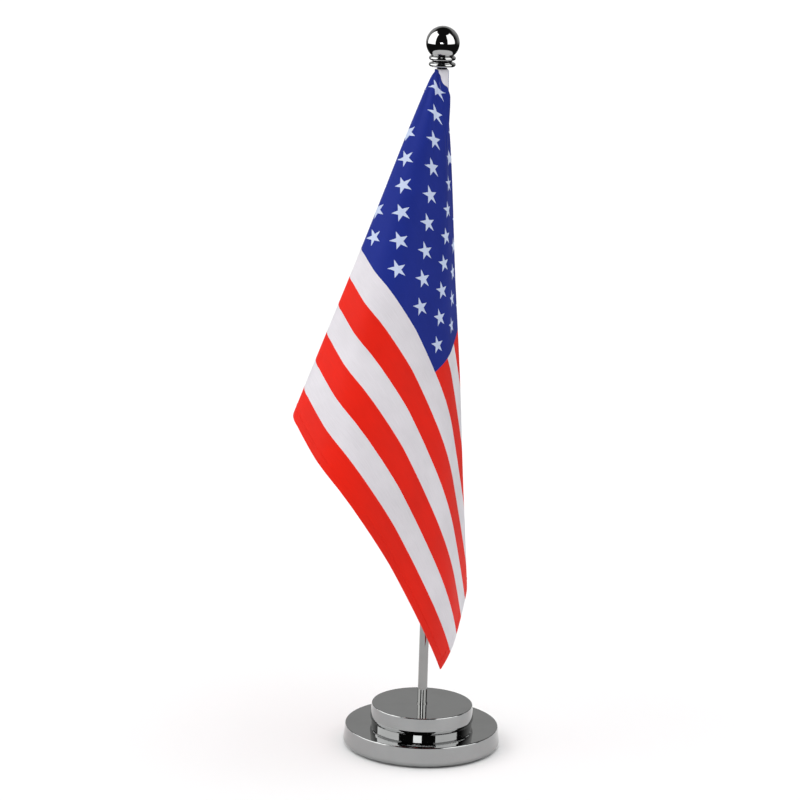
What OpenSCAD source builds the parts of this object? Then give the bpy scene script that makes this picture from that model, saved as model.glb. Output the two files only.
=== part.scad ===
// Desk flag stand: a two-tier weighted base, a thin rod with a ball finial,
// and a flag that hangs from a sewn sleeve and turns freely on the rod.

/* [Base] */
// Widest diameter of the lower disc
lower_disc_d = 66; // [60:1:80]
// Height of the lower disc above the table
lower_disc_top = 9; // [8:0.5:12]
// Widest diameter of the upper disc
upper_disc_d = 43.6; // [38:0.2:50]
// Height of the upper disc above the lower one
upper_disc_h = 9; // [8:0.5:12]
// Sheet thickness of both discs
shell_t = 0.8; // [0.6:0.1:1]
// Thickness of the foam pad underneath
pad_t = 1; // [0.8:0.1:1.5]

/* [Pole] */
// Diameter of the rod
pole_d = 4; // [4:0.5:5]
// Height of the rod's top end above the table
pole_top = 288; // [240:1:340]

/* [Finial] */
// Diameter of the ball
ball_d = 13.6; // [12:0.2:16]
// Diameter of the collar's two rings
collar_d = 10.9; // [10:0.1:12]

/* [Flag] */
// Length of the edge along the rod
flag_hoist = 140; // [120:1:150]
// Length of the edge away from the rod
flag_fly = 210; // [180:1:230]
// Thickness of the cloth
cloth_t = 0.5; // [0.4:0.1:0.6]

/* [Hidden] */
$fn = 96;

// Fits: a turning fit, a slip fit between pieces of one body, and the gap under a seated shoulder
running = 0.05;
slip = 0.1;
seat = 0.02;

// Base
pole_r = pole_d / 2;
lower_r = lower_disc_d / 2;
upper_r = upper_disc_d / 2;
upper_disc_top = lower_disc_top + upper_disc_h;
lip_z = 0.4;
lip_t = 0.6;
lip_r = lower_r - 2.8;
plate_t = 0.8;
plate_top = pad_t + plate_t;
ballast_r = lower_r - 2.4;
ballast_top = lower_disc_top - shell_t;
upper_ballast_r = upper_r - 1.6;
upper_ballast_top = upper_disc_top - shell_t;
hole_r = pole_r + slip;

// Nut, washer and screws
nut_flats = 7;
nut_h = 3.2;
nut_z = plate_top + 0.4;
washer_h = 0.9;
washer_r = 3.3;
screw_ring_r = 12;
screw_r = 1.5;
screw_head_r = 2.75;
screw_head_h = 2;
screw_z = plate_top + 0.6;
screw_top = 14;
bush_r = 3.2;

// Finial
ball_r = ball_d / 2;
collar_r = collar_d / 2;
neck_r = 4.6;
groove_r = 4.05;
collar_top = pole_top + 5;
ball_z = collar_top + sqrt(ball_r * ball_r - neck_r * neck_r) - 0.4;
stud_r = 1.25;
stud_depth = 5;

// Flag: the cloth is a cone around its top corner on the rod. A ray at angle t from the hoist
// edge points along a unit vector. Going up in t, that vector walks over the unit sphere, and
// HEADING says which way it walks as seen from above: 90 is back, 180 is left, 270 is forwards.
sleeve_r = pole_r + 0.5;
sleeve_bore_r = pole_r + 0.08;
apex_z = pole_top - 1;
corner_t = atan(flag_fly / flag_hoist);
// The last stretch rolls up behind the rod, like a scroll.
HEADING = [[0, 105], [10, 172], [20, 232], [27, 237], [31, 316], [36, 325], [42, 371], [48, 397],
    [54, 411], [60, 437], [66, 440], [72, 494], [76, 504], [82, 640], [90, 760]];
// Cloth taken up in the gathers at the corner
SLACK = [[0, 0], [15, 4], [28, 6.5], [40, 7.9], [48, 6.4], [56, 3.2], [62, 1.6], [70, -0.4], [80, 0]];
slack_reach = 17;
// The cloth passes the rod at wrap_r. It does so on the side that HEADING gives, with the scroll
// kept behind the rod, but near the corner GATHER gives the side, so the front bunches up there.
GATHER = [[0, 105], [20, 226], [27, 237], [31, 306], [60, 366], [72, 396], [84, 540]];
gather_reach = 60;
scroll_heading = 540;
wrap_r = pole_r + 0.9;
wrap_reach = 2.5;
wrap_least = sleeve_r + cloth_t / 2;
RAYS = concat([for (t = [0:4:24]) t], [for (t = [26:1:33]) t], [for (t = [36:3:54]) t],
    [corner_t], [for (t = [58:2:90]) t]);
rows = 15;
row_start = 0.015;

function unit(v) = v / norm(v);

// Directions across and back, square to the ray n
function across(n) = unit([1, 0, 0] - n.x * n);
function back(n) = cross(across(n), n);
function along(n, a) = cos(a) * across(n) + sin(a) * back(n);

// The next ray, d degrees on from n at heading a
function next_ray(n, a, d) = unit(n * cos(d) + along(n, a) * sin(d));

DIRECTIONS = [for (i = 0, n = [0, 0, -1]; i < len(RAYS);
    n = i + 1 < len(RAYS)
        ? next_ray(n, lookup((RAYS[i] + RAYS[i + 1]) / 2, HEADING), RAYS[i + 1] - RAYS[i]) : n,
    i = i + 1) n];

// Length of the ray at angle t, from the corner to the far edge of the cloth
function reach(t) = t < corner_t ? flag_hoist / cos(t) : flag_fly / sin(t);

// The side on which the ray at angle t passes the rod, r out from the corner
function side_heading(t, r) = let (near = exp(-r / gather_reach))
    near * lookup(t, GATHER) + (1 - near) * min(lookup(t, HEADING), scroll_heading);

function clear_of_rod(p) = let (d = norm([p.x, p.y]), k = max(1, wrap_least / max(d, 0.01)))
    [p.x * k, p.y * k, p.z];

// The point a share s of the way along ray i, side times the half thickness off the mid surface
function cloth_point(i, s, side) = let (
    t = RAYS[i],
    r = s * reach(t),
    out = along(DIRECTIONS[i], lookup(t, HEADING) - 90),
    wrap = along(DIRECTIONS[i], side_heading(t, r) - 90),
    mid = [0, 0, apex_z] + DIRECTIONS[i] * (r - lookup(t, SLACK) * (1 - exp(-r / slack_reach)))
        + wrap * wrap_r * (1 - exp(-r / wrap_reach)))
    clear_of_rod(mid) + out * side * cloth_t / 2;

function cloth_side(side) = [for (j = [0:rows]) for (i = [0:len(RAYS) - 1])
    cloth_point(i, row_start + (1 - row_start) * pow(j / rows, 1.4), side)];

// An arc of n steps around [x, y] from angle a to angle b
function arc(x, y, r, a, b, n) = [for (i = [0:n]) let (t = a + (b - a) * i / n)
    [x + r * cos(t), y + r * sin(t)]];

module tube(r_out, r_in, z, h) {
    translate([0, 0, z]) difference() {
        cylinder(r = r_out, h = h);
        translate([0, 0, -1]) cylinder(r = r_in, h = h + 2);
    }
}

module at_screws() {
    for (i = [0:2]) rotate([0, 0, 90 + 120 * i]) translate([screw_ring_r, 0, 0]) children();
}

module hexagon(flats, z, h) {
    translate([0, 0, z]) cylinder(r = flats / sqrt(3), h = h, $fn = 6);
}

module base_pad() {
    color("dimgray") cylinder(r = lip_r - 0.2, h = pad_t);
}

module bottom_plate() {
    color("silver") translate([0, 0, pad_t]) cylinder(r = lower_r - 2, h = plate_t);
}

// The outline bulges near the foot, leans in towards a small top radius, and its lip turns under
// the bottom plate.
module lower_disc() {
    rim_r = lower_r - 0.75;
    edge = 0.45;
    color("gainsboro") difference() {
        rotate_extrude() polygon(concat(
            [[0, ballast_top], [rim_r - shell_t, ballast_top], [lower_r - shell_t, 2.8],
             [lower_r - shell_t - 0.1, 2.1], [lower_r - 1.75, pad_t], [lip_r, pad_t], [lip_r, lip_z]],
            arc(lower_r - 2.1, lip_z + 2.1, 2.1, -90, 0, 8),
            arc(rim_r - edge, lower_disc_top - edge, edge, 6, 90, 6),
            [[0, lower_disc_top]]));
        translate([0, 0, -1]) cylinder(r = hole_r, h = lower_disc_top + 2);
        at_screws() translate([0, 0, ballast_top - 1]) cylinder(r = screw_r + slip, h = shell_t + 2);
    }
}

module ballast_plate() {
    color("dimgray") difference() {
        translate([0, 0, plate_top]) cylinder(r = ballast_r, h = ballast_top - plate_top);
        cylinder(r = hole_r, h = 20);
        hexagon(nut_flats + 2 * slip, plate_top - 1, nut_z + nut_h + washer_h - plate_top + 1);
        at_screws() cylinder(r = screw_r + slip, h = 20);
        at_screws() translate([0, 0, plate_top - 1])
            cylinder(r = screw_head_r + 0.25, h = screw_z + screw_head_h - plate_top + 1);
    }
}

module pole_nut() {
    color("silver") difference() {
        hexagon(nut_flats, nut_z, nut_h);
        translate([0, 0, nut_z - 1]) cylinder(r = pole_r + running, h = nut_h + 2);
    }
}

// A split spring washer
module lock_washer() {
    color("silver") difference() {
        tube(washer_r, hole_r + slip, nut_z + nut_h, washer_h);
        translate([hole_r - 0.5, -0.4, nut_z]) cube([3, 0.8, nut_h + washer_h + 1]);
    }
}

module disc_screws() {
    color("silver") at_screws() difference() {
        union() {
            translate([0, 0, screw_z]) cylinder(r = screw_head_r, h = screw_head_h);
            translate([0, 0, screw_z]) cylinder(r = screw_r, h = screw_top - screw_z);
        }
        hexagon(2.5, screw_z - 1, 2.2);
    }
}

module upper_disc() {
    rim_r = upper_r - 0.55;
    edge = 0.4;
    foot_r = upper_r - 0.6;
    waist_z = lower_disc_top + 3.4;
    color("gainsboro") difference() {
        rotate_extrude() polygon(concat(
            [[0, upper_ballast_top], [rim_r - shell_t, upper_ballast_top],
             [upper_r - shell_t, waist_z], [foot_r - shell_t, lower_disc_top], [foot_r, lower_disc_top]],
            arc(upper_r - 3, waist_z, 3, -37, 0, 5),
            arc(rim_r - edge, upper_disc_top - edge, edge, 5, 90, 6),
            [[0, upper_disc_top]]));
        translate([0, 0, lower_disc_top]) cylinder(r = hole_r, h = upper_disc_h + 2);
    }
}

module upper_ballast() {
    color("dimgray") difference() {
        translate([0, 0, lower_disc_top])
            cylinder(r = upper_ballast_r, h = upper_ballast_top - lower_disc_top);
        cylinder(r = bush_r + running, h = 30);
        at_screws() cylinder(r = screw_r + running, h = screw_top + 0.5);
    }
}

module pole_bush() {
    color("white") tube(bush_r, pole_r + running, lower_disc_top, upper_ballast_top - lower_disc_top);
}

// A thin ring around the rod's foot, seated on the upper disc
module foot_ferrule() {
    color("gainsboro") tube(pole_r + 0.25, pole_r + running / 2, upper_disc_top + seat, 0.5);
}

module pole() {
    tail_z = plate_top + 0.2;
    chamfer = 0.4;
    color("gainsboro") difference() {
        union() {
            translate([0, 0, tail_z]) cylinder(r1 = pole_r - chamfer, r2 = pole_r, h = chamfer);
            translate([0, 0, tail_z + chamfer]) cylinder(r = pole_r, h = pole_top - tail_z - chamfer);
        }
        translate([0, 0, pole_top - stud_depth - 1]) cylinder(r = stud_r + running, h = stud_depth + 2);
    }
}

module finial_stud() {
    color("silver") translate([0, 0, pole_top - stud_depth])
        cylinder(r = stud_r, h = ball_z - 1 - pole_top + stud_depth);
}

// Two rounded rings with a groove between them, and a neck that the ball sits in
module finial_collar() {
    ring_h = 1.7;
    ring_edge = 0.8;
    low = pole_top + seat;
    ring_2 = low + ring_h + 0.9;
    color("gainsboro") difference() {
        rotate_extrude() polygon(concat(
            [[0, low], [groove_r, low]],
            arc(collar_r - ring_edge, low + ring_h / 2, ring_edge, -80, 80, 8),
            [[groove_r, low + ring_h], [groove_r, ring_2]],
            arc(collar_r - ring_edge, ring_2 + ring_h / 2, ring_edge, -80, 80, 8),
            [[neck_r, ring_2 + ring_h], [neck_r, collar_top], [0, collar_top]]));
        translate([0, 0, low - 1]) cylinder(r = stud_r + running, h = 12);
        translate([0, 0, ball_z]) sphere(r = ball_r);
    }
}

module finial_ball() {
    color("gainsboro") difference() {
        translate([0, 0, ball_z]) sphere(r = ball_r);
        translate([0, 0, ball_z - ball_r - 1]) cylinder(r = stud_r + running, h = ball_r + 1);
    }
}

module flag_sleeve() {
    color("white") tube(sleeve_r, sleeve_bore_r, apex_z - flag_hoist, flag_hoist);
}

module flag() {
    n = len(RAYS);
    m = n * (rows + 1);
    quads = concat(
        [for (j = [0:rows - 1]) for (i = [0:n - 2])
            [j * n + i, j * n + i + 1, (j + 1) * n + i + 1, (j + 1) * n + i]],
        [for (j = [0:rows - 1]) for (i = [0:n - 2])
            [m + (j + 1) * n + i, m + (j + 1) * n + i + 1, m + j * n + i + 1, m + j * n + i]],
        [for (i = [0:n - 2]) [i + 1, i, m + i, m + i + 1]],
        [for (i = [0:n - 2]) let (k = rows * n + i) [k, k + 1, m + k + 1, m + k]],
        [for (j = [0:rows - 1]) let (k = j * n) [k, k + n, m + k + n, m + k]],
        [for (j = [0:rows - 1]) let (k = j * n + n - 1) [k + n, k, m + k, m + k + n]]);
    triangles = [for (q = quads) each [[q[0], q[1], q[2]], [q[0], q[2], q[3]]]];
    color("firebrick") polyhedron(points = concat(cloth_side(1), cloth_side(-1)), faces = triangles);
}

base_pad();
bottom_plate();
lower_disc();
ballast_plate();
pole_nut();
lock_washer();
disc_screws();
upper_disc();
upper_ballast();
pole_bush();
foot_ferrule();
pole();
finial_stud();
finial_collar();
finial_ball();
flag_sleeve();
flag();
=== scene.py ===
"""Desk flag stand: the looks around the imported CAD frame. All lengths are in metres."""
import math

import bpy
import numpy as np
from mathutils import Matrix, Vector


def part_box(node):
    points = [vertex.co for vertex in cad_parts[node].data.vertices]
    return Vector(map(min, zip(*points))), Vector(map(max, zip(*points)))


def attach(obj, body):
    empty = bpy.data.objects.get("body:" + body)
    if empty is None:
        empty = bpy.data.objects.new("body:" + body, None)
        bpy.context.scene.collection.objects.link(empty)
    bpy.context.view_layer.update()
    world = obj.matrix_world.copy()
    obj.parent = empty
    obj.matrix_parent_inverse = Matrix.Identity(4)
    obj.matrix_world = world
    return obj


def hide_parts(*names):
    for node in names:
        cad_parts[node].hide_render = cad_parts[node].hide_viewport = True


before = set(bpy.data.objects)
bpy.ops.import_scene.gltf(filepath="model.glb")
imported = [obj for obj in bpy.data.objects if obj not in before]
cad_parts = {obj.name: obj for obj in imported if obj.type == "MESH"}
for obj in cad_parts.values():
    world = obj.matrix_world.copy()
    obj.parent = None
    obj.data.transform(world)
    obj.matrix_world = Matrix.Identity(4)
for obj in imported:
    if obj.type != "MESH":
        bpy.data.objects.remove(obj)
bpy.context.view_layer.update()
scene = bpy.context.scene
MM = 0.001

# ---------------------------------------------------------------- camera
CAMERA_AT = (0.0, -1.355, 0.470)
CAMERA_PITCH = -13.325
CAMERA_YAW = 0.553
CAMERA_ROLL = 1.68
CAMERA_LENS = 151.56


def make_camera():
    data = bpy.data.cameras.new("camera")
    data.lens = CAMERA_LENS
    data.sensor_width = 36.0
    data.clip_start = 0.05
    data.clip_end = 60.0
    camera = bpy.data.objects.new("camera", data)
    turn = Matrix.Rotation(math.radians(CAMERA_YAW), 4, "Z")
    turn = turn @ Matrix.Rotation(math.radians(90 + CAMERA_PITCH), 4, "X")
    turn = turn @ Matrix.Rotation(math.radians(CAMERA_ROLL), 4, "Z")
    camera.matrix_world = Matrix.Translation(CAMERA_AT) @ turn
    scene.collection.objects.link(camera)
    scene.camera = camera


make_camera()
scene.view_settings.view_transform = "Standard"


# ---------------------------------------------------------------- node helpers
def add(tree, kind, inputs=None, **settings):
    """A shader node with its settings and inputs; an input is a value or another node's socket."""
    made = tree.nodes.new("ShaderNode" + kind)
    for key, value in settings.items():
        setattr(made, key, value)
    for key, value in (inputs or {}).items():
        if isinstance(value, bpy.types.NodeSocket):
            tree.links.new(value, made.inputs[key])
        else:
            made.inputs[key].default_value = value
    return made


def calc(tree, operation, *values):
    """The output of a Math node."""
    made = add(tree, "Math", dict(enumerate(values)), operation=operation)
    return made.outputs[0]


def ramp(tree, value, low, high, to_low=0.0, to_high=1.0):
    """value carried smoothly from low..high to to_low..to_high."""
    inputs = {"Value": value, "From Min": low, "From Max": high, "To Min": to_low, "To Max": to_high}
    return add(tree, "MapRange", inputs, interpolation_type="SMOOTHSTEP").outputs["Result"]


def noise(tree, where, scale, detail=2.0, roughness=0.5):
    inputs = {"Vector": where, "Scale": scale, "Detail": detail, "Roughness": roughness}
    return add(tree, "TexNoise", inputs).outputs["Fac"]


def blend(tree, share, first, second):
    """A colour between first and second."""
    made = tree.nodes.new("ShaderNodeMix")
    made.data_type = "RGBA"
    for key, value in ((0, share), (6, first), (7, second)):
        if isinstance(value, bpy.types.NodeSocket):
            tree.links.new(value, made.inputs[key])
        else:
            made.inputs[key].default_value = (*value, 1.0) if key else value
    return made.outputs[2]


def new_material(name):
    material = bpy.data.materials.new(name)
    material.use_nodes = True
    tree = material.node_tree
    shader = next(n for n in tree.nodes if n.type == "BSDF_PRINCIPLED")
    return material, tree, shader


def object_space(tree):
    return add(tree, "TexCoord").outputs["Object"]


def set_bump(tree, shader, height, strength, distance):
    inputs = {"Height": height, "Strength": strength, "Distance": distance}
    tree.links.new(add(tree, "Bump", inputs).outputs["Normal"], shader.inputs["Normal"])


# ---------------------------------------------------------------- metal, foam and plastic
def chrome(name, tint, fine):
    """Polished chrome: a faint haze of handling marks, and hairline scratches from dusting."""
    material, tree, shader = new_material(name)
    place = object_space(tree)
    haze = noise(tree, place, 90.0, 4.0)
    marks = noise(tree, place, 420.0, 3.0)
    dull = tuple(0.94 * c for c in tint)
    tree.links.new(blend(tree, ramp(tree, haze, 0.35, 0.7), tint, dull), shader.inputs["Base Color"])
    rough = calc(tree, "ADD", ramp(tree, haze, 0.45, 0.75, fine, fine * 2.2),
                 ramp(tree, marks, 0.62, 0.8, 0.0, 0.05))
    tree.links.new(rough, shader.inputs["Roughness"])
    shader.inputs["Metallic"].default_value = 1.0
    stretch = add(tree, "Mapping", {"Vector": place, "Scale": (1.0, 1.0, 0.04)}).outputs["Vector"]
    hairs = noise(tree, stretch, 1500.0, 2.0)
    set_bump(tree, shader, calc(tree, "ADD", hairs, haze), 0.02, 0.0002)
    return material


def steel(name):
    """Zinc-plated steel, turned or rolled: fine lines and a mottled passivation."""
    material, tree, shader = new_material(name)
    place = object_space(tree)
    mottle = noise(tree, place, 160.0, 5.0)
    tree.links.new(blend(tree, mottle, (0.36, 0.37, 0.38), (0.52, 0.51, 0.46)),
                   shader.inputs["Base Color"])
    tree.links.new(ramp(tree, mottle, 0.2, 0.8, 0.25, 0.48), shader.inputs["Roughness"])
    shader.inputs["Metallic"].default_value = 1.0
    stretch = add(tree, "Mapping", {"Vector": place, "Scale": (0.05, 0.05, 1.0)}).outputs["Vector"]
    set_bump(tree, shader, noise(tree, stretch, 3000.0, 3.0), 0.25, 0.0001)
    return material


def cast_iron(name):
    """A rough dark casting with a grainy skin."""
    material, tree, shader = new_material(name)
    place = object_space(tree)
    grain = noise(tree, place, 700.0, 6.0, 0.65)
    patches = noise(tree, place, 60.0, 3.0)
    tree.links.new(blend(tree, patches, (0.020, 0.020, 0.022), (0.055, 0.045, 0.038)),
                   shader.inputs["Base Color"])
    tree.links.new(ramp(tree, grain, 0.3, 0.7, 0.55, 0.85), shader.inputs["Roughness"])
    shader.inputs["Metallic"].default_value = 0.6
    set_bump(tree, shader, grain, 0.6, 0.0004)
    return material


def foam(name):
    """Black closed-cell foam: small round pores and a dusty surface."""
    material, tree, shader = new_material(name)
    place = object_space(tree)
    inputs = {"Vector": place, "Scale": 1600.0}
    pores = add(tree, "TexVoronoi", inputs, feature="SMOOTH_F1").outputs["Distance"]
    dust = noise(tree, place, 120.0, 4.0)
    tree.links.new(blend(tree, dust, (0.010, 0.010, 0.011), (0.030, 0.029, 0.028)),
                   shader.inputs["Base Color"])
    tree.links.new(ramp(tree, pores, 0.1, 0.6, 0.95, 0.75), shader.inputs["Roughness"])
    shader.inputs["Specular IOR Level"].default_value = 0.25
    set_bump(tree, shader, pores, 0.5, 0.0003)
    return material


def nylon(name):
    """Moulded natural nylon: slightly waxy, with a faint cloudiness."""
    material, tree, shader = new_material(name)
    place = object_space(tree)
    cloud = noise(tree, place, 200.0, 3.0)
    tree.links.new(blend(tree, cloud, (0.70, 0.69, 0.64), (0.80, 0.79, 0.75)),
                   shader.inputs["Base Color"])
    tree.links.new(ramp(tree, cloud, 0.3, 0.7, 0.38, 0.5), shader.inputs["Roughness"])
    shader.inputs["Subsurface Weight"].default_value = 0.15
    shader.inputs["Subsurface Radius"].default_value = (0.001, 0.001, 0.0008)
    set_bump(tree, shader, noise(tree, place, 900.0, 2.0), 0.15, 0.0001)
    return material


# ---------------------------------------------------------------- cloth materials
HOIST = 0.140
FLY = 0.210
STRIPES = 13
CANTON_W = 0.7333 * HOIST
CANTON_H = HOIST * 7 / STRIPES
STAR_DX = CANTON_W / 12
STAR_DY = CANTON_H / 10
STAR_R = 3.8 * MM
RED = (0.80, 0.014, 0.004)
WHITE = (0.76, 0.73, 0.77)
BLUE = (0.010, 0.024, 0.24)
STAR_WHITE = (0.58, 0.66, 0.86)
PRINT_MAP = "print"
BACK_SIDE = "back_side"


def star_mask(tree, x, y):
    """1 inside a five-pointed star of radius STAR_R with a point towards +y, else 0."""
    distance = calc(tree, "SQRT", calc(tree, "ADD", calc(tree, "MULTIPLY", x, x),
                                       calc(tree, "MULTIPLY", y, y)))
    angle = calc(tree, "PINGPONG", calc(tree, "ARCTAN2", x, y), math.pi / 5)
    slope = calc(tree, "COSINE", calc(tree, "SUBTRACT", angle, math.radians(72)))
    edge = STAR_R * math.cos(math.radians(72))
    return calc(tree, "LESS_THAN", calc(tree, "MULTIPLY", distance, slope), edge)


def star_grid(tree, u, v, shift):
    """Stars two cells apart each way; shift 0 has them on odd cells, and 1 on even ones."""
    x = calc(tree, "MODULO", calc(tree, "ADD", u, shift * STAR_DX), 2 * STAR_DX)
    y = calc(tree, "MODULO", calc(tree, "ADD", v, shift * STAR_DY), 2 * STAR_DY)
    return star_mask(tree, calc(tree, "SUBTRACT", x, STAR_DX), calc(tree, "SUBTRACT", STAR_DY, y))


def between(tree, value, low, high):
    return calc(tree, "MULTIPLY", calc(tree, "GREATER_THAN", value, low),
                calc(tree, "LESS_THAN", value, high))


def weave(tree, u, v, thread):
    """A twill's height: diagonal ribs crossed by the threads, from 0 to 1."""
    rib = calc(tree, "SINE", calc(tree, "MULTIPLY", calc(tree, "ADD", u, v), 2 * math.pi / thread))
    across = calc(tree, "SINE", calc(tree, "MULTIPLY", v, 4 * math.pi / thread))
    both = calc(tree, "ADD", calc(tree, "MULTIPLY", rib, 0.3), calc(tree, "MULTIPLY", across, 0.2))
    return calc(tree, "ADD", both, 0.5)


def flag_cloth(name):
    """Printed satin polyester. The print is drawn in the cloth's own coordinates: u metres along
    the fly from the rod, and v metres down from the top edge."""
    material, tree, shader = new_material(name)
    place = object_space(tree)
    uv = add(tree, "UVMap", uv_map=PRINT_MAP).outputs["UV"]
    parts = add(tree, "SeparateXYZ", {"Vector": uv})
    u_flat = calc(tree, "MULTIPLY", parts.outputs["X"], FLY)
    v_flat = calc(tree, "MULTIPLY", calc(tree, "SUBTRACT", 1.0, parts.outputs["Y"]), HOIST)
    # the dye creeps a little along the threads at each printed edge
    creep = noise(tree, place, 2600.0, 1.0)
    creep = calc(tree, "MULTIPLY", calc(tree, "SUBTRACT", creep, 0.5), 0.22 * MM)
    u = calc(tree, "ADD", u_flat, creep)
    v = calc(tree, "MINIMUM", calc(tree, "ADD", v_flat, creep), 0.9999 * HOIST)
    row = calc(tree, "FLOOR", calc(tree, "DIVIDE", calc(tree, "MAXIMUM", v, 0.0), HOIST / STRIPES))
    is_white = calc(tree, "GREATER_THAN", calc(tree, "MODULO", row, 2.0), 0.5)
    field = blend(tree, is_white, RED, WHITE)
    even = calc(tree, "MULTIPLY", star_grid(tree, u, v, 1.0),
                calc(tree, "MULTIPLY", between(tree, u, STAR_DX, 11 * STAR_DX),
                     between(tree, v, STAR_DY, 9 * STAR_DY)))
    stars = calc(tree, "MAXIMUM", star_grid(tree, u, v, 0.0), even)
    in_canton = calc(tree, "MULTIPLY", calc(tree, "LESS_THAN", u, CANTON_W),
                     calc(tree, "LESS_THAN", v, CANTON_H))
    print_colour = blend(tree, in_canton, field, blend(tree, stars, BLUE, STAR_WHITE))
    # less dye reaches the back, and it lies unevenly along the threads
    back = add(tree, "Attribute", attribute_name=BACK_SIDE).outputs["Fac"]
    paler = blend(tree, calc(tree, "MULTIPLY", back, 0.14), print_colour, WHITE)
    slub = add(tree, "Mapping", {"Vector": uv, "Scale": (30.0, 900.0, 1.0)}).outputs["Vector"]
    threads = noise(tree, slub, 1.0, 2.0)
    cloudy = noise(tree, place, 45.0, 3.0)
    shade = calc(tree, "ADD", ramp(tree, threads, 0.2, 0.8, -0.05, 0.05),
                 ramp(tree, cloudy, 0.3, 0.7, 0.94, 1.04))
    tint = add(tree, "CombineColor", {"Red": shade, "Green": shade, "Blue": shade}).outputs["Color"]
    product = tree.nodes.new("ShaderNodeMix")
    product.data_type = "RGBA"
    product.blend_type = "MULTIPLY"
    product.inputs[0].default_value = 1.0
    tree.links.new(paler, product.inputs[6])
    tree.links.new(tint, product.inputs[7])
    tree.links.new(product.outputs[2], shader.inputs["Base Color"])
    tree.links.new(ramp(tree, cloudy, 0.3, 0.7, 0.50, 0.62), shader.inputs["Roughness"])
    shader.inputs["Specular IOR Level"].default_value = 0.08
    shader.inputs["Sheen Weight"].default_value = 0.02
    shader.inputs["Sheen Roughness"].default_value = 0.45
    height = calc(tree, "ADD", weave(tree, u_flat, v_flat, 0.42 * MM),
                  calc(tree, "MULTIPLY", threads, 0.6))
    set_bump(tree, shader, height, 0.20, 0.00006)
    return material


def tape_cloth(name):
    """White woven tape with a visible herringbone."""
    material, tree, shader = new_material(name)
    place = object_space(tree)
    uv = add(tree, "UVMap", uv_map=PRINT_MAP).outputs["UV"]
    parts = add(tree, "SeparateXYZ", {"Vector": uv})
    u = calc(tree, "MULTIPLY", parts.outputs["X"], FLY)
    v = calc(tree, "MULTIPLY", parts.outputs["Y"], HOIST)
    turned = calc(tree, "PINGPONG", u, 1.1 * MM)
    ribs = weave(tree, turned, v, 0.5 * MM)
    cloudy = noise(tree, place, 180.0, 3.0)
    # painted shade: the tape is darker in the low grooves of its weave, mixed with a random
    # cloudiness
    groove_shade_and_cloud = calc(tree, "MULTIPLY", calc(tree, "ADD", ribs, cloudy), 0.5)
    tree.links.new(blend(tree, groove_shade_and_cloud, (0.66, 0.64, 0.70), (0.84, 0.83, 0.90)),
                   shader.inputs["Base Color"])
    tree.links.new(ramp(tree, cloudy, 0.3, 0.7, 0.62, 0.75), shader.inputs["Roughness"])
    shader.inputs["Sheen Weight"].default_value = 0.15
    set_bump(tree, shader, ribs, 0.35, 0.00008)
    return material


# ---------------------------------------------------------------- the drape
# The cloth is a cone around its top corner on the rod, like the CAD's flag: a ray at angle t from
# the hoist edge points along a unit vector that walks over the unit sphere, and HEADING says which
# way it walks, seen from above. 90 is back, 180 is left, 270 is forwards. SLACK is how many
# millimetres each ray is drawn up by. The tables' first column is t, in degrees.
POLE_R = 2.0 * MM
APEX_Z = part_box("flag_sleeve")[1].z
CORNER_T = math.degrees(math.atan(FLY / HOIST))
HEADING = [(0, 105), (10, 172), (20, 232), (27, 237), (31, 316), (36, 325), (42, 371), (48, 397),
           (54, 411), (60, 437), (66, 440), (72, 494), (76, 504), (82, 640), (90, 760)]
SLACK = [(0, 0), (15, 4), (28, 6.5), (40, 7.9), (48, 6.4), (56, 3.2), (62, 1.6), (70, -0.4),
         (80, 0)]
SLACK_REACH = 17 * MM
# The side on which the cloth passes the rod: GATHER near the corner, a little further left than the
# CAD's, and HEADING further off, which counts no further than SCROLL_HEADING.
GATHER = [(0, 105), (20, 226), (27, 237), (31, 300), (60, 338), (72, 378), (84, 540)]
GATHER_REACH = 60 * MM
SCROLL_HEADING = 540
# How far off the rod's axis the cloth lies, how soon it gets there, and the least it keeps to:
# anywhere, over the header tape, and where it is tucked into the sleeve's top.
WRAP_R = POLE_R + 0.9 * MM
WRAP_REACH = 2.5 * MM
WRAP_LEAST = POLE_R + 0.75 * MM
TAPE_LEAST = POLE_R + 1.5 * MM
TUCK_R = POLE_R + 0.25 * MM
TUCK_REACH = 7 * MM
TUCK_FADE = 4 * MM
# The rays that pass on the rod's right, over the tape, and in front, over the sleeve's top: where
# each group begins and ends, from none to whole. TUCK_GROWS is where the tuck gets longer.
ON_RIGHT = ((50, 58), (88, 78))
ON_FRONT = ((46, 52), (90, 86))
TUCK_GROWS = (48, 74)
# Gathers: height, count in a radian, phase, and where along the rays they are highest.
GATHERS_HIGH = 0.30 * MM
GATHERS_COUNT = 26
GATHERS_PHASE = 0.6
GATHERS_AT = 28 * MM
GATHERS_SPREAD = 26 * MM
# Waves: height, wavelengths over 2 pi along the fly and the hoist, their bend and phase, and how
# far from the corner they reach their full height.
WAVES_HIGH = 0.35 * MM
WAVE_FLY = 19 * MM
WAVE_HOIST = 33 * MM
WAVE_BEND = 0.7
WAVE_BEND_LENGTH = 41 * MM
WAVE_PHASE = 1.1
WAVES_GROW = 90 * MM
RAY_STEP = 0.25
ALMOST_ON_AXIS = 0.01 * MM


def look_up(table, t):
    """The table's second column at t, straight between its rows."""
    return np.interp(t, [row[0] for row in table], [row[1] for row in table])


def unit(v):
    return v / np.linalg.norm(v, axis=-1, keepdims=True)


def along(n, heading):
    """The unit vector square to each ray n that points along a heading in degrees."""
    across = unit(np.array([1.0, 0, 0]) - n[..., :1] * n)
    back = np.cross(across, n)
    a = np.radians(heading)[..., None]
    return np.cos(a) * across + np.sin(a) * back


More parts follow.
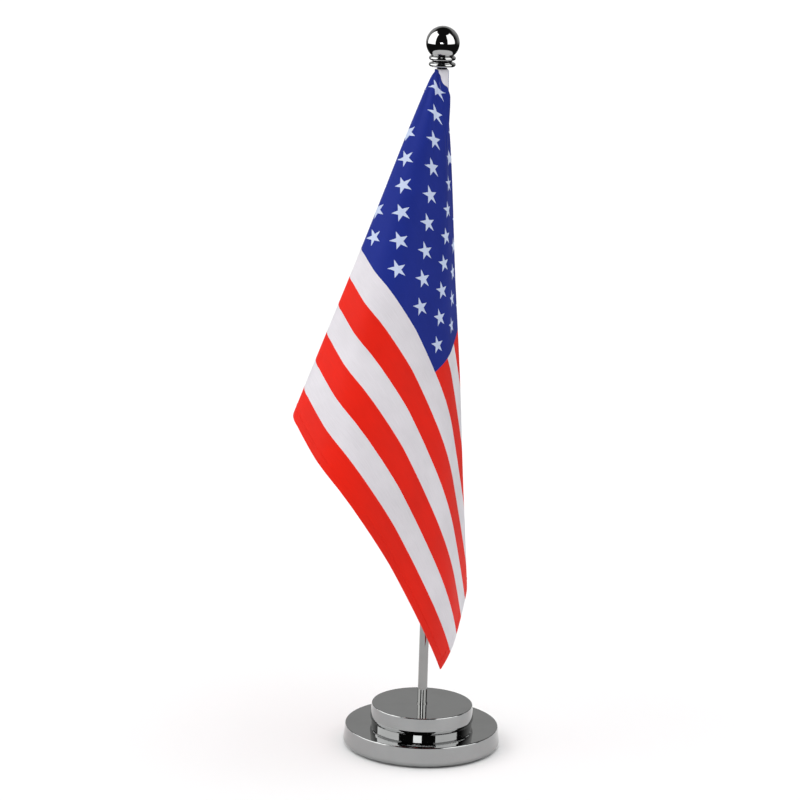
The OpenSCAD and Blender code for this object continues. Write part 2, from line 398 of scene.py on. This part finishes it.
def ray_table():
    """The rays' angles and directions, walked in small steps from the hoist edge."""
    angles = np.arange(0, 90 + RAY_STEP, RAY_STEP)
    rays = [np.array([0.0, 0, -1])]
    d = math.radians(RAY_STEP)
    for t in angles[:-1]:
        n = rays[-1]
        way = along(n, look_up(HEADING, np.array(t + RAY_STEP / 2)))
        rays.append(unit(n * math.cos(d) + way * math.sin(d)))
    return angles, np.array(rays)


RAY_ANGLES, RAYS = ray_table()


def part_of(t, none, whole):
    """0 at none and beyond it, 1 at whole and beyond it, and straight between them."""
    return np.clip((t - none) / (whole - none), 0, 1)


def side_heading(t, r):
    """The heading that says on which side a ray passes the rod, r from the corner."""
    near = np.exp(-r / GATHER_REACH)
    return near * look_up(GATHER, t) + (1 - near) * np.minimum(look_up(HEADING, t), SCROLL_HEADING)


def clear_of_rod(p, t, r):
    """Pushed out to clear the rod, and on the right the header tape too, but tucked into the
    sleeve's top at the corner, where the sleeve shows beside the cloth."""
    on_right = part_of(t, *ON_RIGHT[0]) * part_of(t, *ON_RIGHT[1])
    least = WRAP_LEAST + (TAPE_LEAST - WRAP_LEAST) * on_right
    flat = np.maximum(np.hypot(p[..., 0], p[..., 1]), ALMOST_ON_AXIS)
    clear = np.maximum(flat, least)
    tuck = TUCK_REACH * part_of(t, *TUCK_GROWS)
    shown = part_of(r, tuck, tuck + TUCK_FADE)
    tucked = clear * shown + TUCK_R * (1 - shown)
    on_front = part_of(t, *ON_FRONT[0]) * part_of(t, *ON_FRONT[1])
    p[..., :2] *= ((clear * (1 - on_front) + tucked * on_front) / flat)[..., None]
    return p


def ripple(u, v, t, r):
    """Small folds: gathers that fan out from the corner, and long soft waves down the cloth."""
    fan = np.sin(np.radians(t) * GATHERS_COUNT + GATHERS_PHASE)
    gathers = GATHERS_HIGH * fan * np.exp(-((r - GATHERS_AT) / GATHERS_SPREAD) ** 2)
    bend = WAVE_BEND * np.sin(v / WAVE_BEND_LENGTH)
    waves = np.sin(u / WAVE_FLY + bend) * np.sin(v / WAVE_HOIST + WAVE_PHASE)
    return gathers + WAVES_HIGH * waves * np.clip(r / WAVES_GROW, 0, 1)


def drape(u, v, lift):
    """Where the points u along the fly and v down the hoist of the flat cloth hang, lift metres
    off its middle surface."""
    u, v = np.broadcast_arrays(np.asarray(u, float), np.asarray(v, float))
    t = np.degrees(np.arctan2(u, v))
    r = np.hypot(u, v)
    n = unit(np.stack([np.interp(t, RAY_ANGLES, RAYS[:, k]) for k in range(3)], -1))
    heading = look_up(HEADING, t)
    out = along(n, heading - 90)
    wrap = along(n, side_heading(t, r) - 90)
    length = r - look_up(SLACK, t) * MM * (1 - np.exp(-r / SLACK_REACH))
    p = np.array([0, 0, APEX_Z]) + n * length[..., None]
    p = p + wrap * (WRAP_R * (1 - np.exp(-r / WRAP_REACH)))[..., None]
    return clear_of_rod(p, t, r) + out * (ripple(u, v, t, r) + lift)[..., None]


# ---------------------------------------------------------------- cloth pieces
CLOTH_T = 0.22 * MM
HEM_W = 4.0 * MM
HEM_T = 0.20 * MM
HEM_STEP = 1.0 * MM
TOP_HEM_START = 14 * MM
BOTTOM_HEM_START = 2 * MM
# The sheet's grid: angles and shares of each ray's length. It starts just off the corner, where
# its first row is, and is finer near it.
SHEET_ANGLES = 241
SHEET_SHARES = 131
FIRST_SHARE = 0.005
SHARE_POWER = 1.25
SHARP_ANGLE = 50


def make_piece(name, points, faces, material, body, maps=None, back=None):
    """A smooth mesh piece that rides on a CAD body, with its print map where it has one."""
    mesh = bpy.data.meshes.new(name)
    mesh.from_pydata([tuple(p) for p in points], [], faces)
    if maps is not None:
        layer = mesh.uv_layers.new(name=PRINT_MAP)
        corners = np.zeros(len(mesh.loops), np.int32)
        mesh.loops.foreach_get("vertex_index", corners)
        layer.data.foreach_set("uv", np.asarray(maps, np.float32)[corners].ravel())
    if back is not None:
        attribute = mesh.attributes.new(BACK_SIDE, "FLOAT", "POINT")
        attribute.data.foreach_set("value", np.asarray(back, np.float32))
    mesh.polygons.foreach_set("use_smooth", [True] * len(mesh.polygons))
    mesh.update()
    mesh.validate()
    mesh.set_sharp_from_angle(angle=math.radians(SHARP_ANGLE))
    mesh.materials.append(material)
    piece = bpy.data.objects.new(name, mesh)
    scene.collection.objects.link(piece)
    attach(piece, body)
    return piece


def shell_faces(rows, columns):
    """Faces of a closed sheet: an outer grid, an inner grid behind it, and the rim between."""
    def at(j, i, side):
        return side * rows * columns + j * columns + i

    faces = []
    for j in range(rows - 1):
        for i in range(columns - 1):
            faces.append((at(j, i, 0), at(j, i + 1, 0), at(j + 1, i + 1, 0), at(j + 1, i, 0)))
            faces.append((at(j + 1, i, 1), at(j + 1, i + 1, 1), at(j, i + 1, 1), at(j, i, 1)))
    for i in range(columns - 1):
        faces.append((at(0, i + 1, 0), at(0, i, 0), at(0, i, 1), at(0, i + 1, 1)))
        last = rows - 1
        faces.append((at(last, i, 0), at(last, i + 1, 0), at(last, i + 1, 1), at(last, i, 1)))
    for j in range(rows - 1):
        faces.append((at(j, 0, 0), at(j + 1, 0, 0), at(j + 1, 0, 1), at(j, 0, 1)))
        edge = columns - 1
        faces.append((at(j + 1, edge, 0), at(j, edge, 0), at(j, edge, 1), at(j + 1, edge, 1)))
    return faces


def print_uv(u, v):
    """The print map's coordinates: the flat cloth on the unit square, with its top at 1."""
    return np.stack([u.ravel() / FLY, 1 - v.ravel() / HOIST], -1)


def cloth_shell(name, u, v, inner, outer, material):
    """A closed sheet over the flat coordinates u and v, between two lifts off the cloth's middle."""
    points = np.concatenate([drape(u, v, outer).reshape(-1, 3), drape(u, v, inner).reshape(-1, 3)])
    maps = np.concatenate([print_uv(u, v)] * 2)
    back = np.concatenate([np.zeros(u.size), np.ones(u.size)])
    return make_piece(name, points, shell_faces(*u.shape), material, "flag", maps, back)


def reach(t):
    """How far a ray at angle t runs from the corner to the far edge of the cloth."""
    t = np.radians(t)
    return np.minimum(HOIST / np.maximum(np.cos(t), 1e-9), FLY / np.maximum(np.sin(t), 1e-9))


def make_flag(material):
    angles = np.unique(np.append(np.linspace(0, 90, SHEET_ANGLES), CORNER_T))
    spread = np.linspace(0, 1, SHEET_SHARES) ** SHARE_POWER
    shares = FIRST_SHARE + (1 - FIRST_SHARE) * spread
    t, s = np.meshgrid(angles, shares)
    r = s * reach(t)
    u = r * np.sin(np.radians(t))
    v = r * np.cos(np.radians(t))
    return cloth_shell("flag_sheet", u, v, -CLOTH_T / 2, CLOTH_T / 2, material)


def hem_lines():
    """The three hemmed edges: name, the flat line's ends at the cloth's edge, and the way in."""
    return [
        ("top", (TOP_HEM_START, 0.0), (FLY, 0.0), (0, 1)),
        ("fly", (FLY, 0.0), (FLY, HOIST), (-1, 0)),
        ("bottom", (BOTTOM_HEM_START, HOIST), (FLY, HOIST), (0, -1)),
    ]


def make_hems(material):
    """The folded edge that lies on the back of the cloth, a strip to each edge."""
    made = []
    for name, start, end, inward in hem_lines():
        length = math.dist(start, end)
        steps = int(length / HEM_STEP) + 1
        share, depth = np.meshgrid(np.linspace(0, 1, steps), np.linspace(0, 1, 5))
        depth = depth * HEM_W
        u = start[0] + (end[0] - start[0]) * share + inward[0] * depth
        v = start[1] + (end[1] - start[1]) * share + inward[1] * depth
        low = -CLOTH_T / 2 - HEM_T
        made.append(cloth_shell("hem_" + name, u, v, low, -CLOTH_T / 2, material))
    return made


# ---------------------------------------------------------------- stitches
STITCH = 1.7 * MM
STITCH_GAP = 0.7 * MM
THREAD_R = 0.10 * MM
THREAD_LIFT = 0.03 * MM
THREAD_SIDES = 6
THREAD_SHARES = (0.0, 0.12, 0.5, 0.88, 1.0)
THREAD_WIDTHS = (0.25, 0.85, 1.0, 0.85, 0.25)
HEM_STITCH_INSET = HEM_W - 0.8 * MM


def stitch_mesh(starts, ends, normals):
    """Short plump threads from starts to ends, each a closed tube with drawn-in ends."""
    sides = THREAD_SIDES
    way = unit(ends - starts)
    side = unit(np.cross(way, normals))
    points, faces = [], []
    for k in range(len(starts)):
        base = len(points)
        for share, width in zip(THREAD_SHARES, THREAD_WIDTHS):
            centre = starts[k] + (ends[k] - starts[k]) * share
            for a in np.arange(sides) * 2 * math.pi / sides:
                points.append(centre + THREAD_R * width * (side[k] * math.cos(a)
                                                           + normals[k] * math.sin(a)))
        for ring in range(len(THREAD_SHARES) - 1):
            for i in range(sides):
                a, b = base + ring * sides + i, base + ring * sides + (i + 1) % sides
                faces.append((b, a, a + sides, b + sides))
        faces.append(tuple(base + i for i in range(sides)))
        top = base + (len(THREAD_SHARES) - 1) * sides
        faces.append(tuple(top + i for i in reversed(range(sides))))
    return np.array(points), faces, sides * len(THREAD_SHARES)


def stitch_row(start, end, lift, first=0.0):
    """A row of stitches along a flat line: their ends, the cloth's normal at each, and the flat
    places of their middles."""
    length = math.dist(start, end)
    at = np.arange(first, length - STITCH, STITCH + STITCH_GAP)
    way = (np.array(end) - np.array(start)) / length
    a = np.array(start) + at[:, None] * way
    b = np.array(start) + (at + STITCH)[:, None] * way
    lifted = np.full(len(at), lift)
    starts = drape(a[:, 0], a[:, 1], lifted)
    ends = drape(b[:, 0], b[:, 1], lifted)
    normals = unit(drape(a[:, 0], a[:, 1], lifted + MM) - starts)
    return starts, ends, normals, (a + b) / 2


def make_stitches(name, rows, material):
    starts, ends, normals, flat = (np.concatenate(part) for part in zip(*rows))
    points, faces, per_stitch = stitch_mesh(starts, ends, normals)
    maps = np.repeat(print_uv(flat[:, 0], flat[:, 1]), per_stitch, axis=0)
    return make_piece(name, points, faces, material, "flag", maps, np.zeros(len(points)))


def make_hem_stitches(material):
    """Rows on both faces of the hems; the back's stitches start half a stitch later."""
    rows = []
    inset = HEM_STITCH_INSET
    half_stitch = 0.5 * (STITCH + STITCH_GAP)
    for _, start, end, inward in hem_lines():
        a = (start[0] + inward[0] * inset, start[1] + inward[1] * inset)
        b = (end[0] + inward[0] * inset, end[1] + inward[1] * inset)
        rows.append(stitch_row(a, b, CLOTH_T / 2 + THREAD_LIFT))
        rows.append(stitch_row(a, b, -CLOTH_T / 2 - HEM_T - THREAD_LIFT, half_stitch))
    return make_stitches("hem_stitches", rows, material)


# ---------------------------------------------------------------- sleeve and header tape
SLEEVE_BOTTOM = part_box("flag_sleeve")[0].z
SLEEVE_R = 2.47 * MM
SLEEVE_BORE_R = 2.12 * MM
SLEEVE_MIDDLE_R = 2.5 * MM
SLEEVE_COLUMNS = 72
SLEEVE_ROWS = 200
SEAM_ANGLE = HEADING[0][1] - 90
SEAM_HIGH = 0.22 * MM
SEAM_SPREAD = 22
PUCKERS_HIGH = 0.035 * MM
BUNCHES_HIGH = 0.05 * MM
END_FOLD = 0.25 * MM
END_FOLD_LEAST = 0.45
TAPE_T = 0.28 * MM
TAPE_W = 7.0 * MM
TAPE_START = -1.6 * MM
TAPE_TOP = 12 * MM
TAPE_BOTTOM = HOIST - 0.3 * MM
TAPE_SPREAD = 0.08
TAPE_STITCH_LINES = (1.3 * MM, TAPE_W - 1.0 * MM)
TAPE_STITCH_ENDS = (13 * MM, HOIST - MM)
TAPE_THREAD_LIFT = 0.02 * MM


def sleeve_outer(angle, z):
    """The sleeve's outside: round the rod, with a ridge at its seam and soft puckers."""
    off_seam = (angle - SEAM_ANGLE + 180) % 360 - 180
    ridge = SEAM_HIGH * np.exp(-(off_seam / SEAM_SPREAD) ** 2)
    turn = np.radians(angle)
    pucker = PUCKERS_HIGH * np.sin(z / (1.9 * MM) + turn * 2) * np.sin(z / (7.3 * MM))
    bunch = BUNCHES_HIGH * np.sin(turn * 5 + z / (11 * MM))
    return SLEEVE_R + ridge + pucker + bunch


def make_sleeve(material):
    """A cloth tube with turned-in ends, closed all round."""
    columns = SLEEVE_COLUMNS
    rows = SLEEVE_ROWS
    angles = np.arange(columns) * 360 / columns
    z = np.linspace(SLEEVE_BOTTOM, APEX_Z, rows)
    a, zz = np.meshgrid(angles, z)
    near_end = np.minimum(zz - SLEEVE_BOTTOM, APEX_Z - zz)
    inner_r = SLEEVE_BORE_R
    outer_r = sleeve_outer(a, zz)
    fold = np.sqrt(np.clip(near_end / END_FOLD, 0, 1))
    outer_r = inner_r + (outer_r - inner_r) * (END_FOLD_LEAST + (1 - END_FOLD_LEAST) * fold)
    ring = np.stack([np.cos(np.radians(a)), np.sin(np.radians(a))], -1)
    outer = np.concatenate([ring * outer_r[..., None], zz[..., None]], -1).reshape(-1, 3)
    inner = np.concatenate([ring * inner_r, zz[..., None]], -1).reshape(-1, 3)
    count = rows * columns
    faces = []
    for j in range(rows - 1):
        for i in range(columns):
            k, m = j * columns + i, j * columns + (i + 1) % columns
            faces.append((k, m, m + columns, k + columns))
            faces.append((count + k + columns, count + m + columns, count + m, count + k))
    for i in range(columns):
        k, m = i, (i + 1) % columns
        faces.append((m, k, count + k, count + m))
        k, m = k + (rows - 1) * columns, m + (rows - 1) * columns
        faces.append((k, m, count + m, count + k))
    around = np.radians(a.ravel()) * SLEEVE_MIDDLE_R / FLY
    down = (zz.ravel() - SLEEVE_BOTTOM) / HOIST
    maps = np.concatenate([np.stack([around, down], -1)] * 2)
    return make_piece("sleeve_tube", np.concatenate([outer, inner]), faces, material,
                      "flag", maps)


def tape_points(u, v, lift):
    """The header tape: over the cloth where u is positive, and round the sleeve where it isn't."""
    on_cloth = drape(np.maximum(u, 0), v, lift)
    angle = np.radians(SEAM_ANGLE) + u / WRAP_R
    radius = WRAP_R + TAPE_SPREAD * u + lift
    on_sleeve = np.stack([radius * np.cos(angle), radius * np.sin(angle), APEX_Z - v], -1)
    return np.where((u < 0)[..., None], on_sleeve, on_cloth)


def make_tape(material):
    across = np.linspace(TAPE_START, TAPE_W, 21)
    down = np.linspace(TAPE_TOP, TAPE_BOTTOM, 150)
    u, v = np.meshgrid(across, down)
    low = CLOTH_T / 2
    points = np.concatenate([tape_points(u, v, low + TAPE_T).reshape(-1, 3),
                             tape_points(u, v, low).reshape(-1, 3)])
    maps = np.concatenate([print_uv(u, v)] * 2)
    return make_piece("header_tape", points, shell_faces(*u.shape), material,
                      "flag", maps)


def make_tape_stitches(material):
    rows = []
    lift = CLOTH_T / 2 + TAPE_T + TAPE_THREAD_LIFT
    top, bottom = TAPE_STITCH_ENDS
    for u in TAPE_STITCH_LINES:
        rows.append(stitch_row((u, top), (u, bottom), lift))
        rows.append(stitch_row((u, top), (u, bottom), -CLOTH_T / 2 - THREAD_LIFT))
    return make_stitches("tape_stitches", rows, material)


# ---------------------------------------------------------------- build
cloth = flag_cloth("flag_cloth")
tape = tape_cloth("header_cloth")
flag_sheet = make_flag(cloth)
hems = make_hems(cloth)
hem_stitches = make_hem_stitches(cloth)
sleeve = make_sleeve(tape)
header_tape = make_tape(tape)
tape_stitches = make_tape_stitches(tape)
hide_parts("flag")
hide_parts("flag_sleeve")

DISC_TINT = (0.335, 0.340, 0.340)
ROD_TINT = (0.305, 0.305, 0.300)
FINIAL_TINT = (0.40, 0.405, 0.405)
finishes = {
    "foam_pad": foam("foam_pad"),
    "zinc_steel": steel("zinc_steel"),
    "chrome_discs": chrome("chrome_discs", DISC_TINT, 0.030),
    "iron_ballast": cast_iron("iron_ballast"),
    "bush_nylon": nylon("bush_nylon"),
    "chrome_rod": chrome("chrome_rod", ROD_TINT, 0.045),
    "chrome_finial": chrome("chrome_finial", FINIAL_TINT, 0.022),
}
NODE_FINISHES = {
    "base_pad": "foam_pad",
    "bottom_plate": "zinc_steel",
    "lower_disc": "chrome_discs",
    "ballast_plate": "iron_ballast",
    "pole_nut": "zinc_steel",
    "lock_washer": "zinc_steel",
    "disc_screws": "zinc_steel",
    "upper_disc": "chrome_discs",
    "upper_ballast": "iron_ballast",
    "pole_bush": "bush_nylon",
    "foot_ferrule": "chrome_rod",
    "pole": "chrome_rod",
    "finial_stud": "zinc_steel",
    "finial_collar": "chrome_finial",
    "finial_ball": "chrome_finial",
}
for node_name, finish in NODE_FINISHES.items():
    node_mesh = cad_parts[node_name].data
    node_mesh.materials.clear()
    node_mesh.materials.append(finishes[finish])


# ---------------------------------------------------------------- stage
FLOOR_NEAR = 0.31
FLOOR_FAR = 14.0
FLOOR_COLOURS = ((0.92, 0.92, 0.925), (0.95, 0.95, 0.95))


def floor_material():
    """Matt pale paper with a barely visible grain."""
    material, tree, shader = new_material("studio_paper")
    place = object_space(tree)
    tree.links.new(blend(tree, noise(tree, place, 4.0, 3.0), *FLOOR_COLOURS),
                   shader.inputs["Base Color"])
    tree.links.new(ramp(tree, noise(tree, place, 300.0), 0.3, 0.7, 0.85, 0.95),
                   shader.inputs["Roughness"])
    shader.inputs["Specular IOR Level"].default_value = 0.1
    return material


def floor_ring(name, inner, outer, material):
    """A flat ring, or a disc where inner is 0."""
    count = 128
    angles = np.arange(count) * 2 * math.pi / count
    points = [(outer * math.cos(a), outer * math.sin(a), 0.0) for a in angles]
    if inner:
        points += [(inner * math.cos(a), inner * math.sin(a), 0.0) for a in angles]
        faces = [(i, (i + 1) % count, count + (i + 1) % count, count + i) for i in range(count)]
    else:
        faces = [tuple(range(count))]
    mesh = bpy.data.meshes.new(name)
    mesh.from_pydata(points, [], faces)
    mesh.materials.append(material)
    made = bpy.data.objects.new(name, mesh)
    scene.collection.objects.link(made)
    return made


def backdrop(radius):
    """A pale surround that only the camera sees."""
    material = bpy.data.materials.new("studio_backdrop")
    material.use_nodes = True
    tree = material.node_tree
    tree.nodes.clear()
    glow = add(tree, "Emission", {"Color": (0.96, 0.96, 0.965, 1.0), "Strength": 1.0})
    out = add(tree, "OutputMaterial")
    tree.links.new(glow.outputs[0], out.inputs["Surface"])
    bpy.ops.mesh.primitive_uv_sphere_add(segments=64, ring_count=32, radius=radius)
    dome = bpy.context.object
    dome.name = "studio_backdrop"
    dome.data.materials.append(material)
    for ray in ("diffuse", "glossy", "transmission", "volume_scatter", "shadow"):
        setattr(dome, "visible_" + ray, False)


paper = floor_material()
floor_ring("floor_near", 0.0, FLOOR_NEAR, paper)
floor_far = floor_ring("floor_far", FLOOR_NEAR, FLOOR_FAR, paper)
floor_far.visible_glossy = False
backdrop(FLOOR_FAR - 0.5)


# ---------------------------------------------------------------- light
# The chrome reflects a dark studio with two softboxes, a faint glow behind and a small card. Each
# softbox is: azimuths, 0 in front and positive to the right, elevations, both in degrees, and
# brightness.
SOFTBOXES = [
    ((-120, -53), (-6, 58), 3.0),
    ((34, 89), (-3, 56), 2.6),
]
SOFTBOX_EDGE = 1.5
STUDIO_DARK = 0.012
BACK_GLOW = 0.46
BACK_GLOW_AZIMUTHS = (100, 150)
BACK_GLOW_ELEVATIONS = (2, 34)
BACK_GLOW_EDGE = 14
CARD_AT = (-0.125, -0.88, 0.345)
CARD_SIZE = (0.30, 0.12)
CARD_GLOW = 5.0


def window(tree, value, limits, soft):
    """1 inside the limits, falling smoothly to 0 over soft degrees outside them."""
    rise = ramp(tree, value, limits[0] - soft, limits[0])
    fall = ramp(tree, value, limits[1], limits[1] + soft, 1.0, 0.0)
    return calc(tree, "MULTIPLY", rise, fall)


def make_world():
    """The studio that only reflections show."""
    world = bpy.data.worlds.new("studio")
    scene.world = world
    world.use_nodes = True
    tree = world.node_tree
    tree.nodes.clear()
    way = add(tree, "TexCoord").outputs["Generated"]
    parts = add(tree, "SeparateXYZ", {"Vector": way})
    x, y, z = (parts.outputs[k] for k in "XYZ")
    to_degrees = 180 / math.pi
    azimuth = calc(tree, "MULTIPLY", calc(tree, "ARCTAN2", x, calc(tree, "MULTIPLY", y, -1.0)),
                   to_degrees)
    elevation = calc(tree, "MULTIPLY", calc(tree, "ARCSINE", z), to_degrees)
    total = STUDIO_DARK
    for azimuths, elevations, strength in SOFTBOXES:
        box = calc(tree, "MULTIPLY", window(tree, azimuth, azimuths, SOFTBOX_EDGE),
                   window(tree, elevation, elevations, SOFTBOX_EDGE))
        total = calc(tree, "ADD", calc(tree, "MULTIPLY", box, strength), total)
    behind = ramp(tree, calc(tree, "ABSOLUTE", azimuth), *BACK_GLOW_AZIMUTHS)
    glow = calc(tree, "MULTIPLY", behind,
                window(tree, elevation, BACK_GLOW_ELEVATIONS, BACK_GLOW_EDGE))
    total = calc(tree, "ADD", calc(tree, "MULTIPLY", glow, BACK_GLOW), total)
    background = add(tree, "Background", {"Color": (1.0, 0.995, 0.985, 1.0), "Strength": total})
    out = add(tree, "OutputWorld")
    tree.links.new(background.outputs[0], out.inputs["Surface"])
    world.cycles_visibility.diffuse = False


def soft_sun(name, azimuth, elevation, spread, strength):
    """A broad even light that reflections don't show."""
    data = bpy.data.lights.new(name, "SUN")
    data.angle = math.radians(spread)
    data.energy = strength
    lamp = bpy.data.objects.new(name, data)
    turn = Matrix.Rotation(math.radians(azimuth), 4, "Z")
    lamp.matrix_world = turn @ Matrix.Rotation(math.radians(90 - elevation), 4, "X")
    scene.collection.objects.link(lamp)
    lamp.visible_glossy = False


def reflector_card():
    """A small bright card beside the camera, which only reflections show."""
    material = bpy.data.materials.new("reflector_card")
    material.use_nodes = True
    tree = material.node_tree
    tree.nodes.clear()
    glow = add(tree, "Emission", {"Color": (1.0, 1.0, 1.0, 1.0), "Strength": CARD_GLOW})
    out = add(tree, "OutputMaterial")
    tree.links.new(glow.outputs[0], out.inputs["Surface"])
    half_w, half_h = CARD_SIZE[0] / 2, CARD_SIZE[1] / 2
    corners = [(-half_w, 0, -half_h), (half_w, 0, -half_h), (half_w, 0, half_h), (-half_w, 0, half_h)]
    mesh = bpy.data.meshes.new("reflector_card")
    mesh.from_pydata(corners, [], [(0, 1, 2, 3)])
    mesh.materials.append(material)
    card = bpy.data.objects.new("reflector_card", mesh)
    card.location = CARD_AT
    scene.collection.objects.link(card)
    for ray in ("camera", "diffuse", "transmission", "volume_scatter", "shadow"):
        setattr(card, "visible_" + ray, False)


make_world()
reflector_card()
soft_sun("overhead", 0, 88, 130, 3.05)
soft_sun("front_left", -60, 25, 60, 0.75)
soft_sun("back_fill", 160, 35, 100, 0.35)
